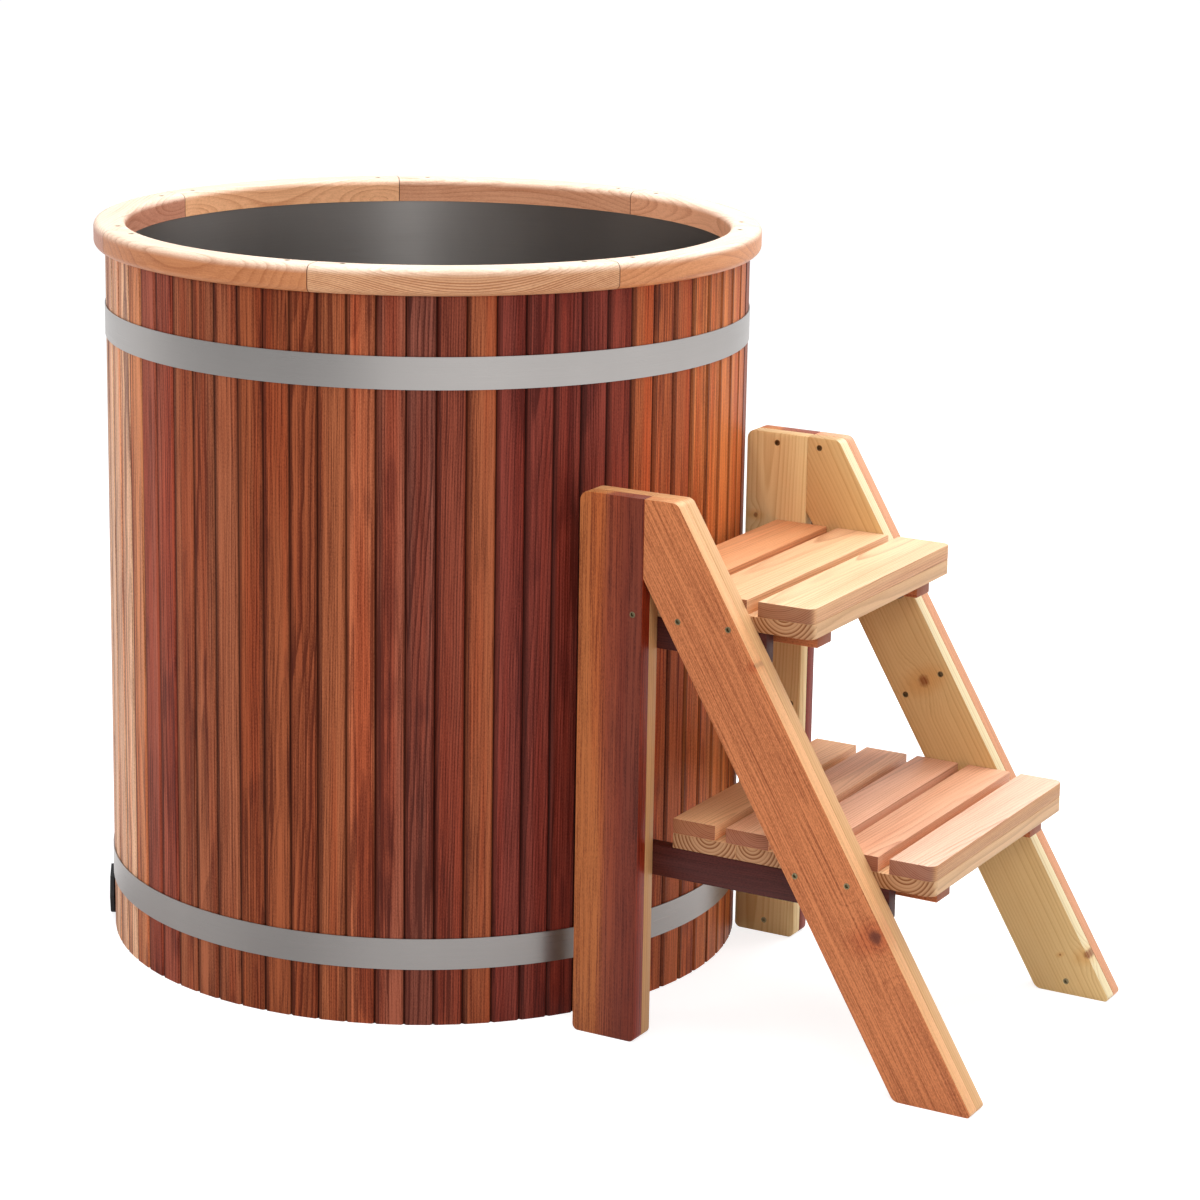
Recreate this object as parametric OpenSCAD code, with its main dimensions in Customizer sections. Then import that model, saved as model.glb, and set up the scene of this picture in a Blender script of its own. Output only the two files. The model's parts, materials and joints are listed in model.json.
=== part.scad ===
// Cold plunge tub: upright timber staves stand round a steel liner. Two steel bands
// hold them, and a timber rim in segments is screwed down on top. A pair of
// free-standing steps is set against the barrel.
// Millimetres, +Z up. The origin is on the barrel's axis at floor level, and the
// steps stand on the +X side.

/* [Barrel] */
// Number of upright staves round the barrel
stave_count = 72; // [64:8:80]
// Distance from the axis to the flat outer face of a stave
stave_face_r = 439.5; // [420:0.5:460]
// Thickness of a stave
stave_t = 24; // [20:1:28]
// Height of the staves
stave_h = 965; // [850:5:1050]
// Bevel along the two outer edges of a stave
stave_bevel = 3.5; // [2:0.5:4.5]
// Gap between two neighbouring staves
stave_gap = 0.1; // [0.1:0.05:0.3]
// Direction of the first joint between two staves, in degrees
stave_joint_angle = -1.4; // [-3:0.1:3]

/* [Rim] */
// Number of segments in the rim
rim_count = 7; // [7:1:7]
// How far the rim stands out past the staves
rim_overhang = 15.5; // [10:0.5:25]
// How far the rim reaches in past the liner's wall
rim_inset = 1.5; // [0.5:0.5:5]
// Thickness of the rim
rim_t = 35; // [28:1:45]
// Radius of the rim's rounded edges
rim_round = 9; // [4:0.5:12]
// Gap at the joint between two rim segments
rim_gap = 0.6; // [0.2:0.1:1]
// Direction of the first joint between two rim segments, in degrees
rim_joint_angle = -77.2; // [-90:0.1:-60]
// Distance from a rim joint to the screw on each side of it
rim_screw_inset = 37; // [30:1:50]

/* [Bands] */
// Height of a steel band
band_h = 42; // [30:1:50]
// Thickness of a steel band
band_t = 1.5; // [1:0.1:2.5]
// Height of the lower band's bottom edge above the floor
lower_band_z = 77; // [77:1:120]
// Distance from the staves' top end down to the upper band's top edge
upper_band_drop = 78; // [50:1:120]
// Direction of the place where a band's two ends meet, in degrees
band_joint_angle = 122; // [110:1:135]
// Opening between a band's two ends
band_opening = 24; // [16:1:30]
// How far a band's bent-out ears reach past the band
ear_reach = 22; // [20:1:26]
// Thickness of a band's ear
ear_t = 3; // [2:0.5:4]
// Radius of the bolt that draws a band tight
band_bolt_r = 4; // [3:0.5:5]

/* [Liner and floor] */
// Thickness of the liner's steel sheet
liner_t = 1.5; // [1:0.1:2]
// Radius of the bend between the liner's wall and its floor
liner_bend_r = 15; // [10:1:30]
// Width of the liner's lip on top of the staves
liner_lip_w = 8; // [6:0.5:9]
// Height of the joists under the floor
joist_h = 80; // [78:1:95]
// Width of a joist
joist_w = 45; // [38:1:50]
// Clearance between an outer joist and the drain's nut
joist_drain_gap = 4; // [3:0.5:10]
// Thickness of the floor boards
floor_t = 20; // [16:1:25]
// Number of floor boards
floor_board_count = 7; // [7:2:9]

/* [Drain] */
// Direction of the drain outlet, in degrees, which moves to the nearest stave joint
drain_direction = -146.4; // [-148:0.1:-144]
// Distance from the staves' inner face to the middle of the drain in the floor
drain_inset = 85.5; // [80:0.5:90]
// Height of the drain outlet's axis above the floor
drain_z = 39; // [38:0.5:39.5]
// Radius of the drain pipe
pipe_r = 16; // [14:0.5:17]
// Wall of the drain pipe and of the fittings round it
pipe_wall = 3; // [2:0.5:4]
// Radius of the drain pipe's bend at its centre line
pipe_bend_r = 20; // [18:1:22]
// Radius of the strainer's flange
strainer_r = 34; // [30:1:38]
// Radius of the outlet's flange
outlet_flange_r = 27; // [25:0.5:28]
// Thickness of the outlet's flange
outlet_flange_t = 2; // [1.5:0.1:2.5]
// Thickness of the rubber ring behind the outlet's flange
outlet_ring_t = 1; // [1:0.1:1.5]
// Distance from the drain plug's axis to each of its head's eight corners
plug_r = 36.5; // [35:0.5:37]
// Thickness of the drain plug's closed end
plug_end_t = 2; // [2:0.1:3]
// Length of the drain plug's threaded stem
plug_stem = 12; // [11:0.5:13]
// Thickness of the seal under the drain plug's head
plug_seal_t = 1; // [1:0.1:1.5]

/* [Steps frame] */
// Clear width between the two side frames
steps_inner_w = 420; // [400:5:440]
// Sideways place of the steps' middle, from the barrel's axis
steps_y = -30; // [-40:1:-20]
// Clearance between the barrel and the nearest corner of the posts
steps_clear = 1.6; // [1:0.1:10]
// Height of the side frames
steps_h = 721; // [690:1:760]
// Thickness of one layer of a side frame
frame_board_t = 21; // [18:0.5:24]
// Width of a post
post_w = 92; // [80:1:100]
// Width of a slanting stringer
stringer_w = 92.5; // [80:0.5:100]
// Lean of the stringers from upright, in degrees
stringer_lean = 30.7; // [29:0.1:32]
// Width of a side frame's flat top, from the posts' rear face
frame_top_w = 138.9; // [132:0.1:146]
// Radius of the corners at the top of the side frames
frame_round = 12; // [6:1:16]
// Radius of the corners at the foot of the posts
post_foot_round = 8.5; // [4:0.5:12]
// Radius of the corner in front, at the foot of the stringers
toe_round = 5; // [2:0.5:8]
// Radius of the corner behind, at the foot of the stringers
heel_round = 13; // [6:0.5:18]

/* [Treads] */
// Distance from the side frames' top down to the upper tread's top
upper_tread_drop = 121; // [101:1:141]
// Distance from the upper tread's top down to the lower tread's top
tread_rise = 302; // [290:1:315]
// Distance from the barrel to the upper tread's back edge
upper_tread_gap = 12; // [8:1:20]
// Distance from the posts' rear face to the lower tread's back edge
lower_tread_back = 120; // [110:1:130]
// Number of slats on the upper tread
upper_slat_count = 3; // [3:1:3]
// Number of slats on the lower tread
lower_slat_count = 5; // [5:1:5]
// Width of an upper slat
upper_slat_w = 77; // [72:0.5:80]
// Width of a lower slat
lower_slat_w = 61; // [58:0.5:64]
// Gap between two slats
slat_gap = 15; // [10:0.5:18]
// Thickness of the slats
slat_t = 20; // [16:0.5:24]
// Thickness of the boards under the slats
underlay_t = 20; // [16:0.5:24]
// Number of boards under the upper slats
upper_underlay_count = 3; // [2:1:4]
// Number of boards under the lower slats
lower_underlay_count = 4; // [3:1:5]
// Radius of a tread's front corners
tread_round = 12; // [6:1:18]
// Thickness of a rail under the treads
rail_t = 20; // [16:0.5:24]
// Height of a rail under the treads
rail_h = 41; // [36:1:44]
// Distance from the posts' rear face to the rails' rear end
rail_back = 22; // [20:1:30]
// Width of a cleat under a tread
cleat_w = 40; // [34:1:46]
// Thickness of a cleat under a tread
cleat_t = 20; // [16:0.5:24]
// Distance from a side frame to the nearest cleat
cleat_inset = 40; // [36:1:46]
// Distance from a tread's edges to the cleats' ends
cleat_end = 12; // [8:1:18]

/* [Screws] */
// Radius of a wood screw's shank
screw_r = 2; // [1.5:0.1:2.5]
// Radius of a wood screw's countersunk head
screw_head_r = 4.2; // [3.5:0.1:5]
// Height of a wood screw's countersunk head
screw_head_h = 3; // [2:0.1:3.5]
// Length of the rim's screws
rim_screw_length = 70; // [60:1:80]
// Length of the screws through the side frames into the treads
frame_screw_length = 70; // [66:1:80]
// Length of the screws that join the layers and hold the rails
short_screw_length = 36; // [34:0.5:37]
// Length of the screws through the cleats into the slats
tread_screw_length = 52; // [48:1:55]

/* [Hidden] */

$fn = 96;
left = -1;
right = 1;
// Overshoot of a cut past the face that it opens
cut = 1;
// Clearance of a hole round what passes through it
fit = 0.05;
// Clearance between two faces that rest against each other
seat = 0.1;
// Least distance from a screw's centre to the edge of the board that it enters
edge_margin = 7;
// How far a screw's head lies below the surface
head_sink = 0.2;
// Clearance of a bolt in an ear's hole
bolt_clear = 0.25;
// Clearance of the drain's parts in the wood and steel that they pass through
drain_clear = 0.5;
// Clearance of the floor and of the liner inside the staves
floor_clear = 0.3;
liner_clear = 0.5;

// Staves
stave_sets = 8;
staves_per_set = stave_count / stave_sets;
stave_pitch = 360 / stave_count;
stave_inner_r = stave_face_r - stave_t;
stave_mid_r = stave_face_r - stave_t / 2;
stave_half_face = stave_face_r * tan(stave_pitch / 2) - stave_bevel;
stave_corner_r = norm([stave_face_r, stave_half_face]);

// Liner, floor and rim
floor_z = joist_h + floor_t;
floor_r = stave_inner_r - floor_clear;
liner_outer_r = stave_inner_r - liner_clear;
liner_inner_r = liner_outer_r - liner_t;
liner_lip_r = liner_inner_r + liner_lip_w;
floor_board_pitch = 2 * floor_r / floor_board_count;
floor_board_gap = 0.5;
rim_inner_r = liner_inner_r - rim_inset;
rim_outer_r = stave_face_r + rim_overhang;
rim_w = rim_outer_r - rim_inner_r;
rim_pitch = 360 / rim_count;
rim_top_z = stave_h + rim_t;

// Bands and their draw bolts
band_inner_r = stave_corner_r + seat;
band_outer_r = band_inner_r + band_t;
upper_band_z = stave_h - upper_band_drop - band_h;
ear_outer_r = band_outer_r + ear_reach;
// Place of the bolt along an ear, as a share of the ear's reach
bolt_place = 0.52;
band_bolt_radius = band_outer_r + ear_reach * bolt_place;
bolt_head_r = band_bolt_r * 1.85;
bolt_head_h = band_bolt_r * 1.3;
nut_h = band_bolt_r * 1.6;

// Drain, along its own direction u
drain_angle = stave_joint(drain_direction);
drain_u = stave_inner_r - drain_inset;
tail_r = pipe_r + pipe_wall;
drain_hole_r = tail_r + drain_clear;
pipe_bore_r = pipe_r - pipe_wall;
outlet_back = 15;
outlet_back_u = stave_inner_r - outlet_back;
socket_depth = 12;
plug_recess_r = outlet_flange_r + 1;
plug_seal_r = outlet_flange_r - 3;
plug_socket_depth = plug_stem + 2;
ring_u = stave_corner_r + seat;
flange_u = ring_u + outlet_ring_t;
outlet_end_u = flange_u + outlet_flange_t;
plug_skirt_u = ring_u + 0.4;
plug_seal_u = outlet_end_u + fit;
plug_inner_u = plug_seal_u + plug_seal_t + fit;
plug_outer_u = plug_inner_u + plug_end_t;
locknut_h = 8;
locknut_r = tail_r + 7;
strainer_flange_t = 2;
strainer_tail_z = drain_z + pipe_bend_r + 1;
strainer_holes = 8;
strainer_hole_r = 2.5;
strainer_ring_r = 10;

// Joists, the outer one beside the drain
joist_pitch = -drain_u * cos(drain_angle) - locknut_r - joist_drain_gap - joist_w / 2;

// Steps
steps_half_w = steps_inner_w / 2;
frame_t = 2 * frame_board_t;
nearest_y = min(abs(steps_y - steps_half_w), abs(steps_y + steps_half_w));
steps_rear_x = sqrt(pow(band_outer_r, 2) - pow(nearest_y, 2)) + steps_clear;
post_front_x = steps_rear_x + post_w;
stringer_slope = tan(stringer_lean);
stringer_span = stringer_w / cos(stringer_lean);
stringer_meet_z = steps_h + (frame_top_w - stringer_span - post_w) / stringer_slope;
butt_gap = 0.2;
upper_tread_x = band_outer_r + upper_tread_gap;
lower_tread_x = steps_rear_x + lower_tread_back;
upper_tread_z = steps_h - upper_tread_drop;
lower_tread_z = upper_tread_z - tread_rise;
upper_tread_d = tread_depth(upper_slat_count, upper_slat_w);
lower_tread_d = tread_depth(lower_slat_count, lower_slat_w);
upper_underlay_z = upper_tread_z - slat_t - underlay_t;
lower_underlay_z = lower_tread_z - slat_t - underlay_t;
tread_half_w = steps_half_w - butt_gap;
underlay_gap = 0.3;
// Distances of the frames' screws from the edges of the boards and down from the top
frame_screw_in = 15;
layer_screw_in = 18;
post_screw_in = 14;
layer_screw_drops = [304, 340, 380];
rail_screw_x = steps_rear_x + post_w * 0.6;

// Colours
cedar_light = "#d9915c";
cedar_tan = "#b8763f";
cedar_brown = "#8a5230";
cedar_dark = "#4f3124";
cedar_orange = "#cf7433";
cedar_red = "#8c3f24";
cedar_pale = "#e6b98c";
pine_pale = "#e3bd84";
steel = "#c9cbcc";
steel_dark = "#8d8a86";
plastic_black = "#17181a";

// Tones of the staves in turn, from the first joint on, repeated round the barrel
stave_tones = [
  cedar_tan, cedar_orange, cedar_brown, cedar_red, cedar_light, cedar_brown,
  cedar_tan, cedar_dark, cedar_orange
];

// Depth of a tread of several slats
function tread_depth(count, width) = count * width + (count - 1) * slat_gap;

// Front and rear edge of a stringer at a height
function stringer_front(z) = steps_rear_x + frame_top_w + (steps_h - z) * stringer_slope;
function stringer_rear(z) = stringer_front(z) - stringer_span;

// A place on a row of equal boards, moved to clear the joints between them
function clear_of_joints(place, start, pitch, margin) =
  let (centre = start + (floor((place - start) / pitch) + 0.5) * pitch)
  centre + max(-(pitch / 2 - margin), min(pitch / 2 - margin, place - centre));

// Direction of the joint between two staves that lies nearest to a direction
function stave_joint(angle) =
  stave_joint_angle + round((angle - stave_joint_angle) / stave_pitch) * stave_pitch;

// Angle that an arc length takes up at a radius
function arc_angle(arc, radius) = arc / radius * 180 / PI;

// Directions of the rim's screws, each clear of the joints between staves
function rim_screw_angles() = [
  for (i = [0:rim_count - 1], side = [left, right])
    clear_of_joints(
      rim_joint_angle + i * rim_pitch + side * arc_angle(rim_screw_inset, stave_mid_r),
      stave_joint_angle, stave_pitch, arc_angle(edge_margin, stave_mid_r))
];

// Wood screw with its countersunk head at the origin, pointing down
module screw(length) {
  color(steel)
    translate([0, 0, -head_sink])
      rotate_extrude($fn = 32)
        polygon([
          [0, 0], [screw_head_r, 0], [screw_r, -screw_head_h],
          [screw_r, -length + 2 * screw_r], [0, -length]
        ]);
}

// Hole that a wood screw passes through
module screw_hole(length) {
  hole_r = screw_r + fit;
  head_r = screw_head_r + fit;
  translate([0, 0, -head_sink])
    rotate_extrude($fn = 32)
      polygon([
        [0, head_sink + cut], [head_r, head_sink + cut], [head_r, 0],
        [hole_r, -screw_head_h], [hole_r, -length - fit], [0, -length - fit]
      ]);
}

// Hexagon nut along +Z
module hex_nut(radius, height, bore_r) {
  difference() {
    cylinder(r = radius, h = height, $fn = 6);
    translate([0, 0, -cut])
      cylinder(r = bore_r, h = height + 2 * cut);
  }
}

// Plan of one stave, its outer face towards +X
module stave_plan() {
  slope = tan(stave_pitch / 2);
  half_gap = stave_gap / 2;
  half = function (r) r * slope - half_gap;
  bevel_r = stave_face_r - stave_bevel;
  face = stave_half_face - half_gap;
  polygon([
    [stave_inner_r, -half(stave_inner_r)],
    [bevel_r, -half(bevel_r)],
    [stave_face_r, -face],
    [stave_face_r, face],
    [bevel_r, half(bevel_r)],
    [stave_inner_r, half(stave_inner_r)]
  ]);
}

// One set of neighbouring staves, drilled for the rim's screws and the drain
module stave_set(set) {
  for (i = [0:staves_per_set - 1]) {
    angle = stave_joint_angle + (set * staves_per_set + i + 0.5) * stave_pitch;
    color(stave_tones[i % len(stave_tones)])
      difference() {
        rotate([0, 0, angle])
          linear_extrude(stave_h)
            stave_plan();
        for (screw_angle = rim_screw_angles())
          if (abs(turn_between(screw_angle, angle)) < stave_pitch)
            at_rim_screw(screw_angle)
              screw_hole(rim_screw_length);
        if (abs(turn_between(drain_angle, angle)) < 2 * stave_pitch)
          along_drain(stave_inner_r - stave_t)
            cylinder(r = drain_hole_r, h = 3 * stave_t);
      }
  }
}

// Turn from one direction to another, between -180 and 180 degrees
function turn_between(a, b) = (a - b) - 360 * round((a - b) / 360);

// Place of one rim screw, its head at the rim's top
module at_rim_screw(angle) {
  rotate([0, 0, angle])
    translate([stave_mid_r, 0, rim_top_z])
      children();
}

// Section of the rim, with its outer edges and inner top edge rounded
module rim_section() {
  difference() {
    union() {
      translate([rim_inner_r, stave_h + rim_round])
        square([rim_w, rim_t - 2 * rim_round]);
      translate([rim_inner_r + rim_round, stave_h])
        square([rim_w - 2 * rim_round, rim_t]);
      translate([rim_inner_r, stave_h])
        square([rim_round, rim_round]);
      for (place = [
        [rim_inner_r + rim_round, rim_top_z - rim_round],
        [rim_outer_r - rim_round, rim_top_z - rim_round],
        [rim_outer_r - rim_round, stave_h + rim_round]
      ])
        translate(place)
          circle(r = rim_round);
    }
    translate([rim_inner_r - cut, stave_h - cut])
      square([liner_lip_r + seat - rim_inner_r + cut, liner_t + seat + cut]);
  }
}

// One segment of the rim, drilled for a screw near each end
module rim_segment(index) {
  gap_angle = arc_angle(rim_gap, rim_outer_r);
  color(index % 2 == 0 ? cedar_light : cedar_pale)
    difference() {
      rotate([0, 0, rim_joint_angle + index * rim_pitch + gap_angle / 2])
        rotate_extrude(angle = rim_pitch - gap_angle, $fn = 180)
          rim_section();
      for (screw_angle = rim_screw_angles())
        at_rim_screw(screw_angle)
          screw_hole(rim_screw_length);
    }
}

module rim_screws() {
  for (angle = rim_screw_angles())
    at_rim_screw(angle)
      screw(rim_screw_length);
}

// Moves to a band's joint, with the tangent along +Y
module at_band_joint(z) {
  rotate([0, 0, band_joint_angle])
    translate([0, 0, z])
      children();
}

// Plan of a band, open at its joint on the +X side, with an ear bent out at each end
module band_plan() {
  difference() {
    circle(r = band_outer_r, $fn = 180);
    circle(r = band_inner_r, $fn = 180);
    translate([0, -band_opening / 2])
      square([band_outer_r + cut, band_opening]);
  }
  for (side = [left, right])
    translate([band_inner_r, side * (band_opening + ear_t) / 2 - ear_t / 2])
      square([ear_outer_r - band_inner_r, ear_t]);
}

// Steel band with a hole through both ears for the draw bolt
module band(z) {
  color(steel)
    difference() {
      at_band_joint(z)
        linear_extrude(band_h)
          band_plan();
      at_band_bolt(z)
        translate([0, 0, -band_opening])
          cylinder(r = band_bolt_r + bolt_clear, h = 2 * band_opening);
    }
}

// Axis of a draw bolt, through the middle of both ears
module at_band_bolt(z) {
  at_band_joint(z)
    translate([band_bolt_radius, 0, band_h / 2])
      rotate([-90, 0, 0])
        children();
}

module upper_band() {
  band(upper_band_z);
}

module lower_band() {
  band(lower_band_z);
}

// Draw bolts with a hexagon head against one ear and the nut against the other
module band_bolts() {
  reach = band_opening / 2 + ear_t + fit;
  for (z = [lower_band_z, upper_band_z])
    color(steel)
      at_band_bolt(z) {
        translate([0, 0, -reach - bolt_head_h])
          cylinder(r = bolt_head_r, h = bolt_head_h, $fn = 6);
        translate([0, 0, -reach - bolt_head_h / 2])
          cylinder(r = band_bolt_r, h = 2 * reach + bolt_head_h / 2 + nut_h + band_bolt_r);
      }
}

module band_nuts() {
  for (z = [lower_band_z, upper_band_z])
    color(steel)
      at_band_bolt(z)
        translate([0, 0, band_opening / 2 + ear_t + fit])
          hex_nut(bolt_head_r, nut_h, band_bolt_r + fit);
}

// Corner of a bend: what a square corner loses when it is rounded
module bend_corner(corner, radius) {
  difference() {
    translate(corner + [-radius, -cut])
      square([radius + cut, radius + cut]);
    translate(corner + [-radius, radius])
      circle(r = radius);
  }
}

// Section of one side of the liner's pan, out to a radius and down to a height
module pan_section(radius, bottom, bend) {
  difference() {
    translate([0, bottom])
      square([radius, stave_h + liner_t - bottom]);
    bend_corner([radius, bottom], bend);
  }
}

// Steel liner: wall, bent floor and a lip that lies on the staves
module liner() {
  color(steel_dark)
    difference() {
      rotate_extrude($fn = 180) {
        difference() {
          pan_section(liner_outer_r, floor_z, liner_bend_r + liner_t);
          translate([0, liner_t])
            pan_section(liner_inner_r, floor_z, liner_bend_r);
        }
        translate([liner_inner_r, stave_h])
          square([liner_lip_w, liner_t]);
      }
      at_floor_drain(floor_z - cut)
        cylinder(r = drain_hole_r, h = liner_t + 2 * cut);
    }
}

// Floor boards along X, cut to the barrel's inside
module floor_boards() {
  for (i = [0:floor_board_count - 1])
    color(pine_pale)
      difference() {
        intersection() {
          translate([-floor_r, -floor_r + i * floor_board_pitch + floor_board_gap / 2, joist_h])
            cube([2 * floor_r, floor_board_pitch - floor_board_gap, floor_t]);
          translate([0, 0, joist_h])
            cylinder(r = floor_r, h = floor_t, $fn = 180);
        }
        at_floor_drain(joist_h - cut)
          cylinder(r = drain_hole_r, h = floor_t + 2 * cut);
      }
}

// Joists along Y that carry the floor boards
module floor_joists() {
  for (i = [-1:1])
    color(cedar_tan)
      intersection() {
        translate([i * joist_pitch - joist_w / 2, -floor_r, 0])
          cube([joist_w, 2 * floor_r, joist_h]);
        cylinder(r = floor_r, h = joist_h, $fn = 180);
      }
}

// Moves onto the axis of the drain in the floor
module at_floor_drain(z) {
  rotate([0, 0, drain_angle])
    translate([drain_u, 0, z])
      children();
}

// Moves onto the axis of the outlet, with +Z pointing out of the barrel
module along_drain(u) {
  rotate([0, 0, drain_angle])
    translate([u, 0, drain_z])
      rotate([0, 90, 0])
        children();
}

// Strainer: a perforated flange on the liner's floor with a tail down to the pipe
module drain_strainer() {
  top_z = floor_z + liner_t + seat;
  color(steel)
    difference() {
      union() {
        at_floor_drain(top_z)
          cylinder(r = strainer_r, h = strainer_flange_t);
        at_floor_drain(strainer_tail_z)
          cylinder(r = tail_r, h = top_z - strainer_tail_z + strainer_flange_t / 2);
      }
      at_floor_drain(strainer_tail_z - cut)
        cylinder(r = pipe_r + fit, h = top_z - strainer_tail_z + cut);
      at_floor_drain(top_z - cut)
        for (i = [0:strainer_holes - 1])
          rotate([0, 0, i * 360 / strainer_holes])
            translate([strainer_ring_r, 0, 0])
              cylinder(r = strainer_hole_r, h = strainer_flange_t + 2 * cut, $fn = 24);
    }
}

// Nut under the floor boards that clamps the strainer
module strainer_locknut() {
  color(plastic_black)
    at_floor_drain(joist_h - seat - locknut_h)
      hex_nut(locknut_r, locknut_h, tail_r + fit);
}

// Solid shape of the drain pipe at a radius: down from the floor, then outwards
module pipe_run(radius, end) {
  bend_u = drain_u + pipe_bend_r;
  bend_z = drain_z + pipe_bend_r;
  at_floor_drain(bend_z)
    cylinder(r = radius, h = floor_z - bend_z + end);
  rotate([0, 0, drain_angle])
    translate([bend_u, 0, bend_z])
      rotate([90, 0, 0])
        rotate([0, 0, 180])
          rotate_extrude(angle = 90)
            translate([pipe_bend_r, 0])
              circle(r = radius);
  along_drain(bend_u)
    cylinder(r = radius, h = outlet_back_u + socket_depth - seat - bend_u + end);
}

module drain_pipe() {
  color(plastic_black)
    difference() {
      pipe_run(pipe_r, 0);
      pipe_run(pipe_bore_r, cut);
    }
}

// Outlet: a tube through the staves with a flange outside and a thread for the plug
module drain_outlet() {
  length = outlet_end_u - outlet_back_u;
  color(plastic_black)
    difference() {
      union() {
        along_drain(outlet_back_u)
          cylinder(r = tail_r, h = length);
        along_drain(flange_u)
          cylinder(r = outlet_flange_r, h = outlet_flange_t);
      }
      along_drain(outlet_back_u - cut)
        cylinder(r = pipe_r + fit, h = socket_depth + cut);
      along_drain(outlet_back_u)
        cylinder(r = pipe_bore_r, h = length + cut);
      along_drain(outlet_end_u - plug_socket_depth)
        cylinder(r = pipe_r + fit, h = plug_socket_depth + cut);
    }
}

// Rubber ring between the outlet's flange and the staves
module outlet_ring() {
  color(plastic_black)
    difference() {
      along_drain(ring_u)
        cylinder(r = outlet_flange_r, h = outlet_ring_t - fit);
      along_drain(ring_u - cut)
        cylinder(r = tail_r + fit, h = outlet_ring_t + 2 * cut);
    }
}

// Nut inside the staves that clamps the outlet
module outlet_locknut() {
  half = stave_pitch / 2;
  seat_u = (stave_inner_r - locknut_r * sin(half)) / cos(half) - seat;
  color(plastic_black)
    along_drain(seat_u - locknut_h)
      hex_nut(locknut_r, locknut_h, tail_r + fit);
}

// Rubber seal between the outlet's flange and the plug's head
module plug_seal() {
  color(plastic_black)
    difference() {
      along_drain(plug_seal_u)
        cylinder(r = plug_seal_r, h = plug_seal_t);
      along_drain(plug_seal_u - cut)
        cylinder(r = pipe_r + drain_clear, h = plug_seal_t + 2 * cut);
    }
}

// Screw plug: an eight-sided head hollowed over the outlet's flange, and a hollow stem
module drain_plug() {
  head_t = plug_outer_u - plug_skirt_u;
  stem_u = plug_inner_u - plug_stem;
  color(plastic_black)
    union() {
      difference() {
        along_drain(plug_skirt_u)
          cylinder(r = plug_r, h = head_t, $fn = 8);
        along_drain(plug_skirt_u - cut)
          cylinder(r = plug_recess_r, h = plug_inner_u - plug_skirt_u + cut);
      }
      difference() {
        along_drain(stem_u)
          cylinder(r = pipe_r, h = plug_stem + plug_end_t / 2);
        along_drain(stem_u - cut)
          cylinder(r = pipe_bore_r, h = plug_stem + cut);
      }
    }
}

// Sharp corner of an outline less the arc that rounds it
module corner_waste(corner, along_a, along_b, radius) {
  a = along_a / norm(along_a);
  b = along_b / norm(along_b);
  half = acos(a * b) / 2;
  reach = radius / tan(half);
  centre = corner + (a + b) / norm(a + b) * radius / sin(half);
  past = corner - (a + b) / norm(a + b) * cut;
  difference() {
    polygon([past, corner + a * reach, centre, corner + b * reach]);
    translate(centre)
      circle(r = radius, $fn = 64);
  }
}

// Outline of a post, seen from the side
module post_outline() {
  difference() {
    translate([steps_rear_x, 0])
      square([post_w, steps_h]);
    corner_waste([steps_rear_x, steps_h], [1, 0], [0, -1], frame_round);
    corner_waste([steps_rear_x, 0], [1, 0], [0, 1], post_foot_round);
    corner_waste([post_front_x, 0], [-1, 0], [0, 1], post_foot_round);
  }
}

// Outline of a stringer, seen from the side
module stringer_outline() {
  joint_x = post_front_x + butt_gap;
  down = [stringer_slope, -1];
  top = [stringer_front(steps_h), steps_h];
  toe = [stringer_front(0), 0];
  heel = [stringer_rear(0), 0];
  difference() {
    polygon([
      [joint_x, steps_h], top, toe, heel,
      [joint_x, stringer_meet_z - butt_gap / stringer_slope]
    ]);
    corner_waste(top, [-1, 0], down, frame_round);
    corner_waste(toe, [-1, 0], -down, toe_round);
    corner_waste(heel, [1, 0], -down, heel_round);
  }
}

// One layer of a side frame: layer 0 is the inner one, layer 1 the outer one
module frame_layer(side, layer) {
  near = steps_half_w + layer * frame_board_t;
  middle = steps_y + side * (near + frame_board_t / 2);
  difference() {
    translate([0, middle + frame_board_t / 2, 0])
      rotate([90, 0, 0])
        linear_extrude(frame_board_t)
          children();
    at_frame_screws(side)
      screw_hole(frame_screw_length);
    at_layer_screws(side)
      screw_hole(short_screw_length);
    at_rail_screws(side)
      screw_hole(short_screw_length);
  }
}

module post_board(side, layer) {
  color(layer == 0 ? pine_pale : cedar_light)
    frame_layer(side, layer)
      post_outline();
}

module stringer_board(side, layer) {
  color(layer == 0 ? pine_pale : cedar_light)
    frame_layer(side, layer)
      stringer_outline();
}

// Screws through a side frame into the ends of the boards under the slats
module at_frame_screws(side) {
  for (place = frame_screw_places())
    translate([place[0], steps_y + side * (steps_half_w + frame_t), place[1]])
      rotate([-side * 90, 0, 0])
        children();
}

function frame_screw_places() =
  let (
    upper = upper_underlay_z + underlay_t / 2,
    lower = lower_underlay_z + underlay_t / 2,
    upper_pitch = upper_tread_d / upper_underlay_count,
    lower_pitch = lower_tread_d / lower_underlay_count
  )
  [
    for (x = [
      post_front_x - post_screw_in, stringer_rear(upper) + frame_screw_in,
      stringer_front(upper) - frame_screw_in
    ])
      [clear_of_joints(x, upper_tread_x, upper_pitch, edge_margin), upper],
    for (x = [stringer_rear(lower) + frame_screw_in, stringer_front(lower) - frame_screw_in])
      [clear_of_joints(x, lower_tread_x, lower_pitch, edge_margin), lower]
  ];

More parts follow.
